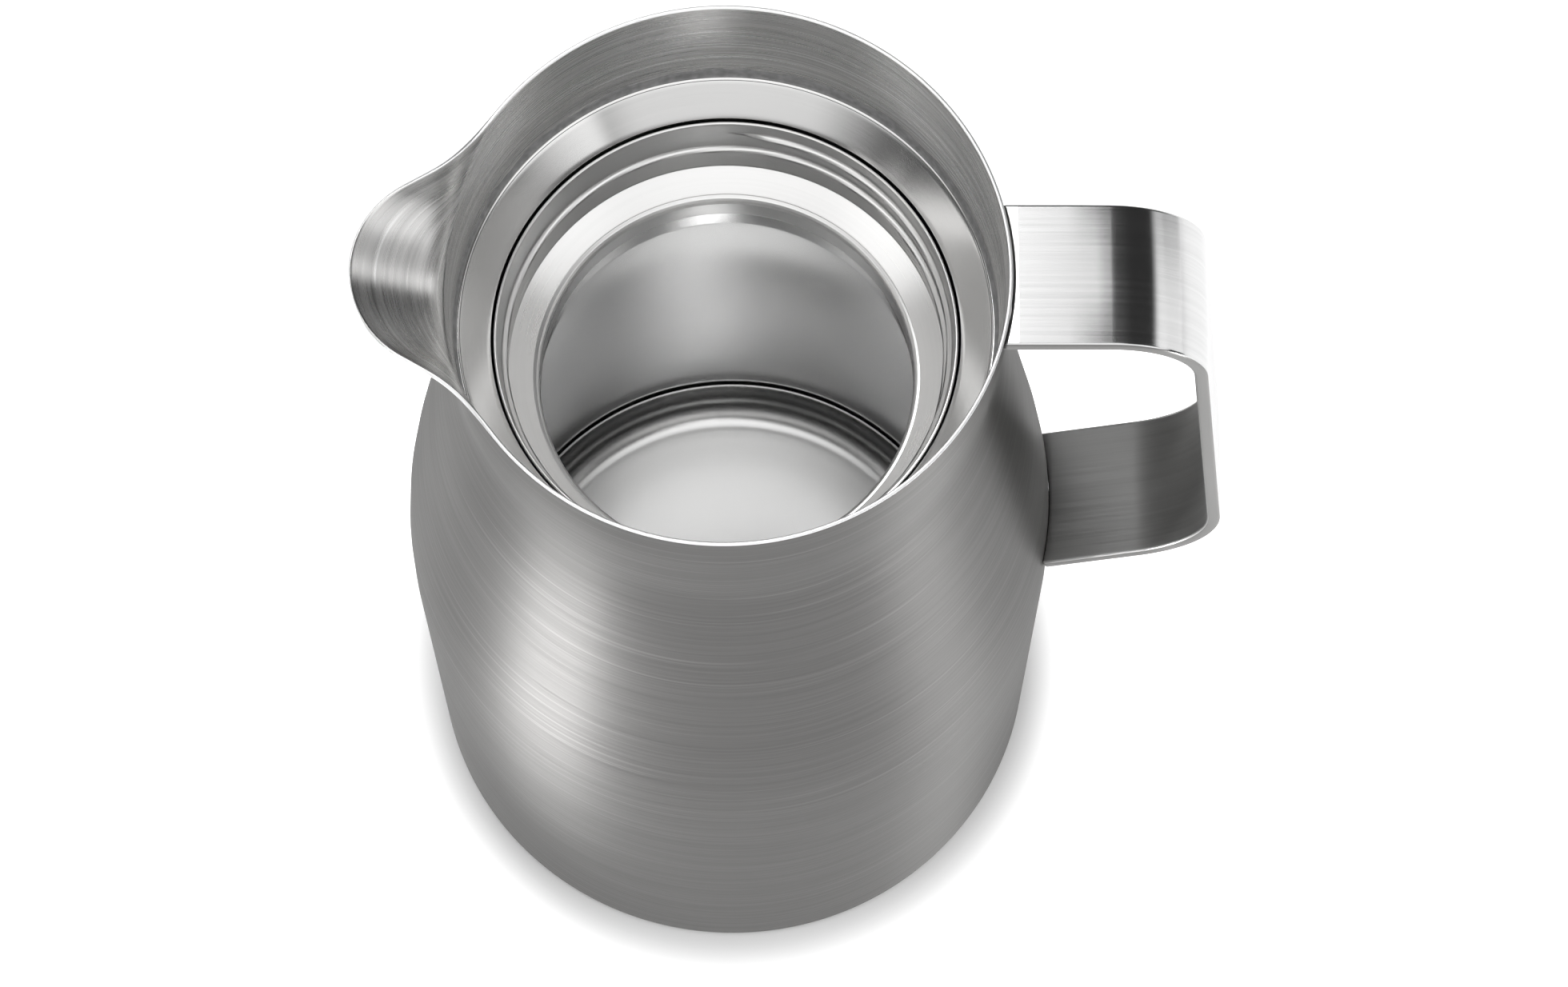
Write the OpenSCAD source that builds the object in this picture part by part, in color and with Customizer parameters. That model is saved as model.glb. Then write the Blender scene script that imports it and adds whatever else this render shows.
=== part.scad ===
// Double-walled steel carafe: a brushed outer shell with a pouring lip and a strap handle,
// round a vacuum insert with a threaded neck. It stands on z = 0, its axis is Z,
// the lip points to -X and the handle to +X.

/* [Outer shell] */
// Height of the rim above the table
rim_z = 216.3; // [205:0.1:235]
// Outer radius at the rim
rim_r = 49; // [47.5:0.1:53]
// Thickness of the shell's sheet
shell_wall = 0.8; // [0.5:0.05:1.2]
// Outer radius of the foot, where its wall and its underside would meet
foot_r = 57.6; // [56:0.1:62]
// Outer radius where the lower wall and the cone above it would meet
belly_r = 60; // [58.5:0.1:66]
// Height of that meeting above the table
belly_z = 97.9; // [85:0.5:110]
// Radius of the soft shoulder there
belly_round = 200; // [120:5:240]
// How much narrower than the rim the waist under the collar is
waist_in = 1.44; // [0.8:0.02:2.4]
// Depth of the waist below the rim
waist_depth = 31.3; // [28:0.1:34]
// Radius of the bend at the waist
waist_round = 60; // [30:1:80]
// How much narrower than the rim the collar is where its flare ends
flare_in = 0.1; // [0:0.05:0.3]
// Depth of the flare's end below the rim
flare_depth = 9.4; // [7:0.1:12]
// Radius of the bend at the flare's end
flare_round = 120; // [60:5:140]
// Radius of the foot's outer edge
foot_round = 2; // [1.2:0.1:4]
// Width of the hem that is rolled in under the base plate
hem_w = 5.1; // [3.5:0.1:8]

/* [Pouring lip] */
// How far the tip stands out beyond the rim
lip_out = 14.9; // [9:0.1:21]
// Radius of the tip in plan
lip_round = 18.4; // [14:0.1:20]
// Angle of each flank to the lip's centre line
flank_angle = 30; // [24:1:36]
// Height of the tip above the rim
lip_rise = 1.2; // [0:0.1:4]
// How far the channel's floor runs inwards for each millimetre down
lip_run = 1.55; // [1.2:0.05:2.2]
// Depth of the channel's solid below the rim
lip_depth = 12; // [10:0.5:16]

/* [Handle] */
// Width of the strap
strap_w = 25.7; // [18:0.1:32]
// Thickness of the strap
strap_t = 2.4; // [1.8:0.1:3.5]
// Depth of the strap's upper face below the rim
strap_drop = 1.25; // [0.5:0.05:6]
// How far the upper corner stands out beyond the rim, before it is rounded
grip_top_out = 32.6; // [27:0.1:43]
// How far the lower corner stands out beyond the belly, before it is rounded
grip_low_out = 30.85; // [24:0.05:40]
// Height of the lower corner above the table
grip_low_z = 107.8; // [95:0.1:125]
// Outer radius of the upper bend
bend_top = 17.5; // [10:0.5:24]
// Outer radius of the lower bend
bend_low = 22; // [10:0.5:26]
// Slope of the lower arm
arm_slope = 21.5; // [5:0.5:30]
// Size of the weld fillets under the strap's ends
weld_size = 1.6; // [1:0.1:2.5]
// Thickness of the lower weld at its toe
weld_toe = 0.3; // [0.1:0.05:0.6]
// Angle by which the welds stop short of the strap's edges
weld_short = 1; // [0.5:0.1:2]

/* [Neck of the insert] */
// Depth of the funnel ring's outer edge below the rim
funnel_depth = 26.2; // [24:0.1:28]
// Width of the funnel ring
funnel_w = 6; // [4.8:0.1:7.3]
// Drop of the funnel ring from its outer to its inner edge
funnel_fall = 5.7; // [4:0.1:7]
// Height of the skirt under the funnel ring's outer edge
funnel_skirt = 9; // [6:0.5:12]
// Height of the collar under the funnel ring's inner edge
funnel_collar = 3.2; // [2.4:0.1:5]
// Radius of the funnel ring's two edges
funnel_round = 0.9; // [0.7:0.1:1.4]
// How far the bead of sealant reaches below the funnel ring's outer edge
sealant_below = 2.4; // [1.4:0.1:4]
// How far the bead of sealant reaches above it
sealant_above = 1.5; // [0.6:0.1:2.4]
// How far the bead of sealant laps over the funnel ring
sealant_lap = 0.35; // [0.2:0.05:0.6]
// How much the threaded neck narrows towards its lower end
neck_taper = 2; // [1.3:0.1:2.9]
// Height of the threaded neck
neck_h = 16.2; // [14:0.1:18]
// Depth of the neck's edge below the funnel ring's inner edge
neck_sink = 0.3; // [0.1:0.1:0.8]
// Radius of the bend where the neck ends and the step begins
neck_round = 0.8; // [0.6:0.1:1.2]
// Width of the step from the neck to the mouth
step_w = 5.12; // [3.7:0.02:10.1]
// Drop of the step
step_fall = 3.4; // [2:0.1:5]
// Height of the mouth's wall
mouth_h = 6; // [4:0.1:8]
// Radius of the mouth's upper edge
mouth_round = 1; // [0.7:0.1:1.5]

/* [Thread] */
// Rise of the thread in one turn
thread_pitch = 5.3; // [4.6:0.1:6]
// Number of turns
thread_turns = 1.75; // [1:0.05:1.9]
// Height of the thread's root on the neck
thread_root = 2.6; // [1.8:0.1:3]
// Height of the thread's crest
thread_crest = 1.1; // [0.8:0.1:1.6]
// How far the thread stands in from the neck
thread_depth = 0.9; // [0.5:0.05:1.3]
// Depth of the thread's start below the neck's edge
thread_start = 3.4; // [2.8:0.1:4]

/* [Vacuum insert] */
// Thickness of the insert's sheet
insert_wall = 0.5; // [0.4:0.05:0.6]
// Space between the shell and the jacket at the belly
jacket_room = 4.6; // [3.7:0.1:6.2]
// Space between the shell and the jacket at the jacket's foot
jacket_low_room = 5.2; // [4.2:0.1:6.7]
// Space between the jacket and the liner at the belly
vacuum_room = 4.7; // [4.1:0.1:6.1]
// Space between the jacket and the liner at the liner's foot
vacuum_low_room = 4.15; // [3.55:0.05:6.35]
// Height of the liner's floor above the table
floor_z = 22; // [20.5:0.1:26]
// Radius of the corner between the liner's floor and its wall
floor_round = 7; // [4:0.5:10]
// Height of the liner's bottom, from its floor to its edge
bottom_h = 8.3; // [7.5:0.1:11]
// How far the liner's wall laps over the edge of its bottom
liner_lap = 3.15; // [2:0.05:5]
// Radius of the liner's curve at its widest
liner_round = 150; // [80:5:180]
// How much narrower the liner is at its shoulder than at its widest
shoulder_in = 2.4; // [1.8:0.1:5.4]
// Depth of the shoulder's corner below the mouth
shoulder_depth = 26; // [24:0.5:30]
// Radius of the shoulder's bend
shoulder_round = 16; // [8:1:20]
// Radius of the bend between the shoulder and the liner's neck
liner_neck_round = 4; // [2:0.5:6]
// Depth of the liner's top edge below the mouth
liner_top_depth = 2; // [1.5:0.1:3]
// Depth of the top of the jacket's cone below the rim
jacket_cone_depth = 44; // [40:1:50]
// Radius of the jacket's curve at the belly
jacket_round = 180; // [100:5:220]
// Radius of the bend at the top of the jacket's cone
jacket_cone_round = 30; // [15:1:45]
// Depth of the jacket's top edge below the funnel ring's outer edge
jacket_top_depth = 3; // [2:0.5:5]
// Height of the jacket's underside above the table
jacket_z = 12; // [10:0.1:13]
// Height at which the jacket's wall starts
jacket_wall_z = 15.5; // [14.5:0.1:17]
// How far the jacket's bottom reaches up inside its wall
jacket_lap = 4.5; // [3:0.1:6]
// Radius of the corner of the jacket's bottom
jacket_foot_round = 3; // [2:0.1:4]

/* [Small pieces] */
// Thickness of the reflecting foil
foil_t = 0.2; // [0.1:0.05:0.4]
// Height of the foil's lower edge above the table
foil_low_z = 36; // [32:0.5:45]
// Depth of the foil's upper edge below the liner's shoulder
foil_top_depth = 14; // [10:0.5:20]
// Radius of the getter pill
getter_r = 4; // [3:0.1:6]
// Height of the getter pill
getter_h = 2.4; // [1.6:0.1:4]
// Distance of the getter from the axis
getter_x = 20; // [14:0.5:28]
// Thickness of the getter holder's sheet
holder_t = 0.4; // [0.3:0.05:0.6]
// Width of the flange round the getter holder
holder_flange = 2; // [1.5:0.1:3]
// Width of the ledge that the getter pill lies on
holder_ledge = 1.2; // [0.8:0.1:1.8]
// Radius of the evacuation hole
port_r = 1; // [0.6:0.1:1.6]
// Radius of the recess round the evacuation hole
recess_r = 7; // [5:0.5:10]
// Depth of that recess
recess_h = 2; // [1.4:0.1:3]
// Width of the recess's sloping edge
recess_slope = 2; // [1.6:0.1:3]
// Radius of the bends at that edge
recess_round = 0.8; // [0.6:0.1:1]
// Radius of the plug under the evacuation hole
plug_r = 3; // [2.4:0.1:4]
// Height of the plug under the evacuation hole
plug_h = 0.9; // [0.6:0.1:1.2]
// Thickness of the plug's cap
cap_t = 0.4; // [0.3:0.05:0.8]
// How far the cap laps over the edge of the recess
cap_lap = 1.5; // [1:0.1:3]
// Height of the centring ring above the table
centring_z = 44; // [36:1:60]
// Height of the centring ring
centring_h = 8; // [4:0.5:14]
// Width of the cushion ring under the insert
cushion_w = 12; // [6:0.5:16]
// Mean radius of the cushion ring
cushion_r = 34; // [26:0.5:38]

/* [Base] */
// Thickness of the base plate
plate_t = 0.8; // [0.5:0.05:1.2]
// Height of the base plate's upturned edge
plate_rim = 8; // [5:0.5:12]
// How far the foot pad stands out under the shell
pad_proud = 0.6; // [0.3:0.1:1.5]
// Space between the foot pad and the shell's hem
pad_room = 0.8; // [0.4:0.1:2]
// Depth of the grooves in the foot pad
pad_groove = 0.5; // [0.2:0.1:0.6]
// Width of those grooves
groove_w = 2; // [1:0.1:3]

/* [Hidden] */
// Clearance between pieces that lie inside one another
gap = 0.15;
// Clearance between pieces that are welded or glued together
touch = 0.05;
// Clearance between the insert and the shell at the waist
slip = 0.3;
// Smallest inner radius of a bend
least_bend = 0.2;
// Largest angle between two points of an arc in a profile
arc_step = 9;
// Overshoot that makes a cut go right through
over = 1;
// Thickness of the slices that the lip's slanting body is stretched between
slice = 0.01;
// Straight steps in one turn of the thread
turn_steps = 48;
// Steps over which the thread swells from a point at each end
taper_steps = 5;
$fn = 96;

steel = [0.66, 0.66, 0.67];
bright_steel = [0.8, 0.8, 0.81];

// Points of the arc that rounds corner b between a and c
function corner(a, b, c, r) =
    let (
        u = (a - b) / norm(a - b),
        v = (c - b) / norm(c - b),
        half = acos(u * v) / 2,
        centre = b + (u + v) / norm(u + v) * r / sin(half),
        p = b + u * r / tan(half) - centre,
        q = b + v * r / tan(half) - centre,
        start = atan2(p.y, p.x),
        sweep = (atan2(q.y, q.x) - start + 540) % 360 - 180,
        n = max(4, ceil(abs(sweep) / arc_step))
    )
    [for (i = [0:n]) centre + r * [cos(start + sweep * i / n), sin(start + sweep * i / n)]];

// A path through the corners p, with an arc of radius r[i] at each inner corner
function rounded(p, r) = concat(
    [p[0]],
    [for (i = [1:len(p) - 2]) each corner(p[i - 1], p[i], p[i + 1], r[i - 1])],
    [p[len(p) - 1]]
);

// The direction to the left of a path at its point i
function left_of(path, i) =
    let (
        before = i > 0 ? path[i] - path[i - 1] : path[1] - path[0],
        after = i < len(path) - 1 ? path[i + 1] - path[i] : before,
        along = before / norm(before) + after / norm(after),
        left = [-along.y, along.x] / norm(along),
        first = [-before.y, before.x] / norm(before)
    )
    left / (left * first);

// The same path moved d to its left
function beside(path, d) = [for (i = [0:len(path) - 1]) path[i] + left_of(path, i) * d];

function backwards(path) = [for (i = [len(path) - 1:-1:0]) path[i]];

// Outline of a sheet whose one face is the path and whose other face is d to its left
function sheet(path, d) = concat(path, backwards(beside(path, d)));

// Radius on a straight line between two profile points, at height z
function between(a, b, z) = a.x + (b.x - a.x) * (z - a.y) / (b.y - a.y);

// Outer shell
hem_z = pad_proud;
waist_r = rim_r - waist_in;
waist = [waist_r, rim_z - waist_depth];
flare_end = [rim_r - flare_in, rim_z - flare_depth];
shell_path = rounded(
    [[foot_r - hem_w, hem_z], [foot_r, hem_z], [belly_r, belly_z], waist, flare_end, [rim_r, rim_z]],
    [foot_round, belly_round, waist_round, flare_round]
);
shell_inner = beside(shell_path, shell_wall);
above_z = rim_z + lip_rise + over;

// Radius of the shell's outer face at height z on the lower wall, the collar's flare and its edge
function lower_wall_r(z) = between([foot_r, hem_z], [belly_r, belly_z], z);
function flare_r(z) = between(waist, flare_end, z);
function edge_r(z) = between(flare_end, [rim_r, rim_z], z);

// Radius of the shell's outer face at the belly, which the soft shoulder makes a little smaller
wall_lean = atan((belly_r - foot_r) / (belly_z - hem_z));
cone_lean = atan((belly_r - waist_r) / (waist.y - belly_z));
belly_face_r = belly_r - belly_round * (1 / cos((wall_lean + cone_lean) / 2) - 1);

// Pouring lip
lip_reach = rim_r + lip_out;
lip_centre = lip_reach - lip_round;
lip_base = lip_centre * 0.6;
lip_root = rim_r * cos(flank_angle);
lip_tilt = atan(lip_rise / (lip_reach - lip_root));
lip_fall = atan(1 / lip_run);
lip_sink = shell_wall * (1 - sin(lip_fall)) / cos(lip_fall);

// Handle
strap_z = rim_z - strap_drop;
grip_top_x = rim_r + grip_top_out;
grip_low_x = belly_r + grip_low_out;
arm_top_x = rim_r * 0.8;
arm_low_x = belly_r * 0.87;
strap_path = rounded(
    [
        [arm_top_x, strap_z], [grip_top_x, strap_z], [grip_low_x, grip_low_z],
        [arm_low_x, grip_low_z - (grip_low_x - arm_low_x) * tan(arm_slope)]
    ],
    [bend_top, bend_low]
);
arm_under_z = grip_low_z - grip_low_out * tan(arm_slope);

// Funnel ring
funnel_z = rim_z - funnel_depth;
funnel_r = flare_r(funnel_z) - shell_wall - slip;
funnel_bore = funnel_r - funnel_w;
neck_top_z = funnel_z - funnel_fall;
funnel_path = rounded(
    [
        [funnel_r, funnel_z - funnel_skirt], [funnel_r, funnel_z],
        [funnel_bore, neck_top_z], [funnel_bore, neck_top_z - funnel_collar]
    ],
    [funnel_round, funnel_round]
);

// Neck sleeve, down to the mouth's lower edge
neck_r = funnel_bore - gap - insert_wall;
neck_low_r = neck_r - neck_taper;
mouth_r = neck_low_r - step_w;
neck_edge_z = neck_top_z - neck_sink;
step_z = neck_edge_z - neck_h;
mouth_top_z = step_z - step_fall;
mouth_low_z = mouth_top_z - mouth_h;
neck_path = rounded(
    [[neck_r, neck_edge_z], [neck_low_r, step_z], [mouth_r, mouth_top_z], [mouth_r, mouth_low_z]],
    [neck_round, mouth_round]
);
function neck_wall_r(z) = between([neck_low_r, step_z], [neck_r, neck_edge_z], z);

// Jacket
jacket_r = belly_r - shell_wall - jacket_room;
jacket_low_r = lower_wall_r(jacket_wall_z) - shell_wall - jacket_low_room;
jacket_neck_r = funnel_r - insert_wall - gap;
jacket_low = [jacket_low_r, jacket_wall_z];
jacket_wide = [jacket_r, belly_z];
jacket_path = rounded(
    [
        jacket_low, jacket_wide, [jacket_neck_r, rim_z - jacket_cone_depth],
        [jacket_neck_r, funnel_z - jacket_top_depth]
    ],
    [jacket_round, jacket_cone_round]
);
jacket_bottom_r = jacket_low_r - insert_wall - gap;
jacket_bottom_path = rounded(
    [
        [port_r, jacket_z + recess_h], [recess_r, jacket_z + recess_h],
        [recess_r + recess_slope, jacket_z], [jacket_bottom_r, jacket_z],
        [jacket_bottom_r, jacket_wall_z + jacket_lap]
    ],
    [recess_round, recess_round, jacket_foot_round]
);

// Liner
liner_r = jacket_r - insert_wall - vacuum_room;
liner_low_r = jacket_low_r - insert_wall - vacuum_low_room;
bottom_r = liner_low_r - insert_wall - gap - insert_wall;
shoulder_r = liner_r - shoulder_in;
liner_neck_r = mouth_r + insert_wall + gap + insert_wall;
liner_low = [liner_low_r, floor_z + bottom_h - liner_lap];
liner_wide = [liner_r, belly_z];
liner_shoulder = [shoulder_r, mouth_top_z - shoulder_depth];
liner_neck = [liner_neck_r, liner_shoulder.y + (shoulder_r - liner_neck_r)];
liner_path = rounded(
    [liner_low, liner_wide, liner_shoulder, liner_neck, [liner_neck_r, mouth_top_z - liner_top_depth]],
    [liner_round, shoulder_round, liner_neck_round]
);
bottom_path = rounded(
    [[0, floor_z], [bottom_r, floor_z], [bottom_r, floor_z + bottom_h]],
    [floor_round]
);

// Base
plate_z = hem_z + shell_wall;
plate_r = lower_wall_r(plate_z) - shell_wall - gap;
plate_top = plate_z + plate_t;
plate_round = max(foot_round - shell_wall, least_bend) + plate_t + gap;
pad_r = foot_r - hem_w - pad_room;

// A shell of revolution from a path and its thickness to the left
module spun(path, d) {
    rotate_extrude() polygon(sheet(path, d));
}

// The lip in plan, seen from above, made larger by g
module lip_plan(g) {
    half = lip_round / cos(flank_angle) + (lip_centre - lip_base) * tan(flank_angle);
    hull() {
        translate([-lip_centre, 0]) circle(lip_round - shell_wall + g, $fn = 72);
        translate([-lip_base, 0])
            square([slice, 2 * (half - (shell_wall - g) / cos(flank_angle))], center = true);
    }
}

// The slanting body of the lip, from its upper plane down to where it runs into the collar
module lip_body(g, sink) {
    hull() {
        translate([-lip_root, 0, rim_z - sink]) rotate([0, lip_tilt, 0]) translate([lip_root, 0, -slice])
            linear_extrude(slice) lip_plan(g);
        translate([lip_run * lip_depth, 0, rim_z - sink - lip_depth])
            linear_extrude(slice) lip_plan(g);
    }
}

module outer_shell() {
    color(steel) difference() {
        union() {
            rotate_extrude() polygon(concat([[0, hem_z]], shell_path, [[0, rim_z]]));
            lip_body(shell_wall, lip_sink);
        }
        rotate_extrude() polygon(concat(
            [[0, hem_z + shell_wall]], shell_inner, [[rim_r - shell_wall, above_z], [0, above_z]]
        ));
        translate([0, 0, -over]) cylinder(r = foot_r - hem_w, h = hem_z + shell_wall + 2 * over);
        lip_body(0, 0);
    }
}

// Bead of sealant in the groove between the collar and the funnel ring
module collar_sealant() {
    low = funnel_z - sealant_below;
    high = funnel_z + sealant_above;
    color([0.78, 0.78, 0.74]) rotate_extrude() polygon([
        [funnel_r + touch, low], [flare_r(low) - shell_wall - touch, low],
        [flare_r(high) - shell_wall - touch, high], [funnel_r - sealant_lap, funnel_z + 2 * touch]
    ]);
}

module handle_strap() {
    color(bright_steel) difference() {
        rotate([90, 0, 0]) linear_extrude(strap_w, center = true) polygon(sheet(strap_path, -strap_t));
        rotate_extrude() polygon(concat(
            [[0, hem_z]], beside(shell_path, -touch), [[rim_r + touch, above_z], [0, above_z]]
        ));
    }
}

// Weld fillet on the collar, under the strap's upper arm
module upper_weld() {
    half = asin(strap_w / 2 / rim_r) - weld_short;
    high = strap_z - strap_t - touch;
    low = high - weld_size;
    color(steel) rotate([0, 0, -half]) rotate_extrude(angle = 2 * half)
        polygon([[edge_r(high) + touch, high], [edge_r(high) + weld_size, high], [edge_r(low) + touch, low]]);
}

// Weld fillet on the belly, under the strap's lower arm
module lower_weld() {
    half = asin(strap_w / 2 / belly_r) - weld_short;
    low = arm_under_z - 1.6 * weld_size;
    high = arm_under_z + weld_size / 2;
    back = belly_face_r - weld_size;
    color(steel) difference() {
        rotate([0, 0, -half]) rotate_extrude(angle = 2 * half)
            polygon([
                [back, low], [belly_face_r + weld_toe, low],
                [belly_face_r + weld_size, high], [back, high]
            ]);
        rotate_extrude() polygon(concat([[0, hem_z]], beside(shell_path, -touch), [[0, rim_z]]));
        rotate([90, 0, 0]) linear_extrude(strap_w + over, center = true)
            polygon(sheet(beside(strap_path, touch), -strap_t - 2 * weld_size));
    }
}

module funnel_ring() {
    color(bright_steel) spun(funnel_path, insert_wall);
}

// The rolled thread: a ridge along a falling helix, tapered to a point at both ends
module thread_ridge() {
    steps = ceil(thread_turns * turn_steps);
    blunt = 0.15;
    function height(i) = neck_edge_z - thread_start - thread_pitch * thread_turns * i / steps;
    function swell(i) = min(1, (i + blunt) / taper_steps, (steps - i + blunt) / taper_steps);
    function point(i, rise, depth) =
        let (
            z = height(i) + rise * swell(i),
            r = neck_wall_r(z) - depth * (depth > 0 ? swell(i) : 1),
            a = 90 - 360 * thread_turns * i / steps
        )
        [r * cos(a), r * sin(a), z];
    points = [
        for (i = [0:steps]) each [
            point(i, thread_root / 2, -insert_wall / 2), point(i, thread_crest / 2, thread_depth),
            point(i, -thread_crest / 2, thread_depth), point(i, -thread_root / 2, -insert_wall / 2)
        ]
    ];
    sides = [
        for (i = [0:steps - 1], j = [0:3])
            each [
                [4 * i + j, 4 * i + 4 + j, 4 * i + (j + 1) % 4],
                [4 * i + (j + 1) % 4, 4 * i + 4 + j, 4 * i + 4 + (j + 1) % 4]
            ]
    ];
    last = 4 * steps;
    ends = [[0, 1, 2], [0, 2, 3], [last + 2, last + 1, last], [last + 3, last + 2, last]];
    polyhedron(points, concat(sides, ends));
}

module neck_sleeve() {
    color(bright_steel) union() {
        spun(neck_path, insert_wall);
        thread_ridge();
    }
}

module liner_wall() {
    color(bright_steel) spun(liner_path, insert_wall);
}

module liner_bottom() {
    color(steel) spun(bottom_path, -insert_wall);
}

// Foil wrapped round the liner, inside the vacuum
module reflecting_foil() {
    top_z = liner_shoulder.y - foil_top_depth;
    face = concat(
        [[between(liner_low, liner_wide, foil_low_z), foil_low_z]],
        [for (p = liner_path) if (p.y > foil_low_z + over && p.y < top_z - over) p],
        [[between(liner_wide, liner_shoulder, top_z), top_z]]
    );
    color([0.8, 0.5, 0.35]) spun(beside(face, -gap), -foil_t);
}

// Cup that is welded to the underside of the liner's bottom and holds the getter
module getter_holder() {
    top = floor_z - insert_wall;
    deep = getter_h + gap;
    color(steel) translate([getter_x, 0, 0]) difference() {
        union() {
            translate([0, 0, top - deep - holder_t])
                cylinder(r = getter_r + gap + holder_t, h = deep + holder_t);
            translate([0, 0, top - holder_t])
                cylinder(r = getter_r + gap + holder_t + holder_flange, h = holder_t);
        }
        translate([0, 0, top - deep]) cylinder(r = getter_r + gap, h = deep + over);
        translate([0, 0, top - deep - over]) cylinder(r = getter_r - holder_ledge, h = deep + over);
    }
}

module getter_pill() {
    color([0.35, 0.35, 0.37]) translate([getter_x, 0, floor_z - insert_wall - getter_h - gap / 2])
        cylinder(r = getter_r, h = getter_h);
}

module jacket_wall() {
    color(steel) spun(jacket_path, insert_wall);
}

module jacket_bottom() {
    color(steel) spun(jacket_bottom_path, insert_wall);
}

// Bead that closes the evacuation hole from below
module evacuation_plug() {
    top = jacket_z + recess_h;
    color([0.55, 0.5, 0.4]) union() {
        translate([0, 0, top - plug_h]) cylinder(r1 = plug_r * 0.75, r2 = plug_r, h = plug_h - touch);
        translate([0, 0, top - plug_h]) cylinder(r = port_r - touch, h = plug_h + 2 * insert_wall);
    }
}

// Thin disc that covers the recess and the plug
module plug_cap() {
    color(steel) translate([0, 0, jacket_z - cap_t - touch])
        cylinder(r = recess_r + recess_slope + cap_lap, h = cap_t);
}

// Soft ring that keeps the insert central in the shell
module centring_ring() {
    low = centring_z - centring_h / 2;
    high = centring_z + centring_h / 2;
    color([0.2, 0.2, 0.2]) rotate_extrude() polygon([
        [between(jacket_low, jacket_wide, low) + gap, low], [lower_wall_r(low) - shell_wall - gap, low],
        [lower_wall_r(high) - shell_wall - gap, high], [between(jacket_low, jacket_wide, high) + gap, high]
    ]);
}

// Soft ring between the base plate and the underside of the insert
module cushion_ring() {
    color([0.2, 0.2, 0.2]) translate([0, 0, plate_top]) difference() {
        cylinder(r = cushion_r + cushion_w / 2, h = jacket_z - plate_top);
        translate([0, 0, -over]) cylinder(r = cushion_r - cushion_w / 2, h = jacket_z - plate_top + 2 * over);
    }
}

module base_plate() {
    edge_z = plate_z + plate_rim;
    path = rounded(
        [[0, plate_z], [plate_r, plate_z], [lower_wall_r(edge_z) - shell_wall - gap, edge_z]],
        [plate_round]
    );
    color(steel) spun(path, plate_t);
}

// Soft pad that the carafe stands on, with two moulded grooves
module foot_pad() {
    color([0.15, 0.15, 0.16]) difference() {
        cylinder(r = pad_r, h = plate_z);
        for (r = [pad_r * 0.62, pad_r * 0.82])
            translate([0, 0, -over]) difference() {
                cylinder(r = r + groove_w / 2, h = pad_groove + over);
                translate([0, 0, -over]) cylinder(r = r - groove_w / 2, h = pad_groove + 3 * over);
            }
    }
}

outer_shell();
collar_sealant();
handle_strap();
upper_weld();
lower_weld();
funnel_ring();
neck_sleeve();
liner_wall();
liner_bottom();
reflecting_foil();
getter_holder();
getter_pill();
jacket_wall();
jacket_bottom();
evacuation_plug();
plug_cap();
centring_ring();
cushion_ring();
base_plate();
foot_pad();
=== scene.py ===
import math

import bmesh
import bpy
from mathutils import Matrix, Vector, noise


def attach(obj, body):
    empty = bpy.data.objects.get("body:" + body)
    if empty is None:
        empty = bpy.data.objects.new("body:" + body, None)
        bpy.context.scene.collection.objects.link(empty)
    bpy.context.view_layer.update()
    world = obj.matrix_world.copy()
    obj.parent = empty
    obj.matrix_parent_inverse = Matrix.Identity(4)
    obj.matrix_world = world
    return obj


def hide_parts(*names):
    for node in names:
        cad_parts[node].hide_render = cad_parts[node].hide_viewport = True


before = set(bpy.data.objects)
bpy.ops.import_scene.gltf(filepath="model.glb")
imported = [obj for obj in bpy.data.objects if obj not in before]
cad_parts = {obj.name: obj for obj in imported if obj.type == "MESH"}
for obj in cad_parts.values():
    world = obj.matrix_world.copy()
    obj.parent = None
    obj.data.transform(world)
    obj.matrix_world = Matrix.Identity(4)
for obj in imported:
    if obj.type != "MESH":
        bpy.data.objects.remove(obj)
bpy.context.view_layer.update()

# The camera: a long lens, high above the front of the carafe, looking down at it.
# It stands a little to the right of the axis, as the photograph shows it.
camera_data = bpy.data.cameras.new("camera")
camera_data.lens = 158.407
camera_data.sensor_width = 36.0
camera_data.clip_start = 0.05
camera = bpy.data.objects.new("camera", camera_data)
camera.location = (0.0101, -0.41312, 1.3103)
camera.rotation_euler = (math.radians(18.8485), 0, 0)
bpy.context.scene.collection.objects.link(camera)
bpy.context.scene.camera = camera
bpy.context.scene.view_settings.view_transform = "Standard"

# The studio: a plain white table in a dim room. A wide soft light fills the front from the
# horizon to overhead, a sheet with a bright strip hangs behind and above, and low white walls
# stand behind at the right. Narrow lamps low at both sides draw the long highlights.
def node(tree, kind, **inputs):
    """A new node of a material, with its named inputs set or linked."""
    made = tree.nodes.new(kind)
    for key, value in inputs.items():
        socket = made.inputs[int(key[1:])] if key[0] == "_" else made.inputs[key.replace("_", " ")]
        if isinstance(value, bpy.types.NodeSocket):
            tree.links.new(value, socket)
        else:
            socket.default_value = value
    return made


def new_material(name):
    """A new material, its node tree and its shader."""
    made = bpy.data.materials.new(name)
    made.use_nodes = True
    return made, made.node_tree, made.node_tree.nodes["Principled BSDF"]


def ramp(tree, factor, low, high, dark, light):
    """The factor, stretched from low..high to dark..light."""
    made = node(
        tree, "ShaderNodeMapRange", Value=factor, From_Min=low, From_Max=high, To_Min=dark, To_Max=light
    )
    return made.outputs[0]


def zone(tree, parts, brightness, *fades):
    """A soft area of light: along each named axis it grows from its first value to its second."""
    for axis, none, full in fades:
        made = node(tree, "ShaderNodeMapRange", Value=parts[axis], From_Min=none, From_Max=full)
        made.interpolation_type = "SMOOTHSTEP"
        brightness = node(tree, "ShaderNodeMath", _0=brightness, _1=made.outputs[0])
        brightness.operation = "MULTIPLY"
        brightness = brightness.outputs[0]
    return brightness


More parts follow.
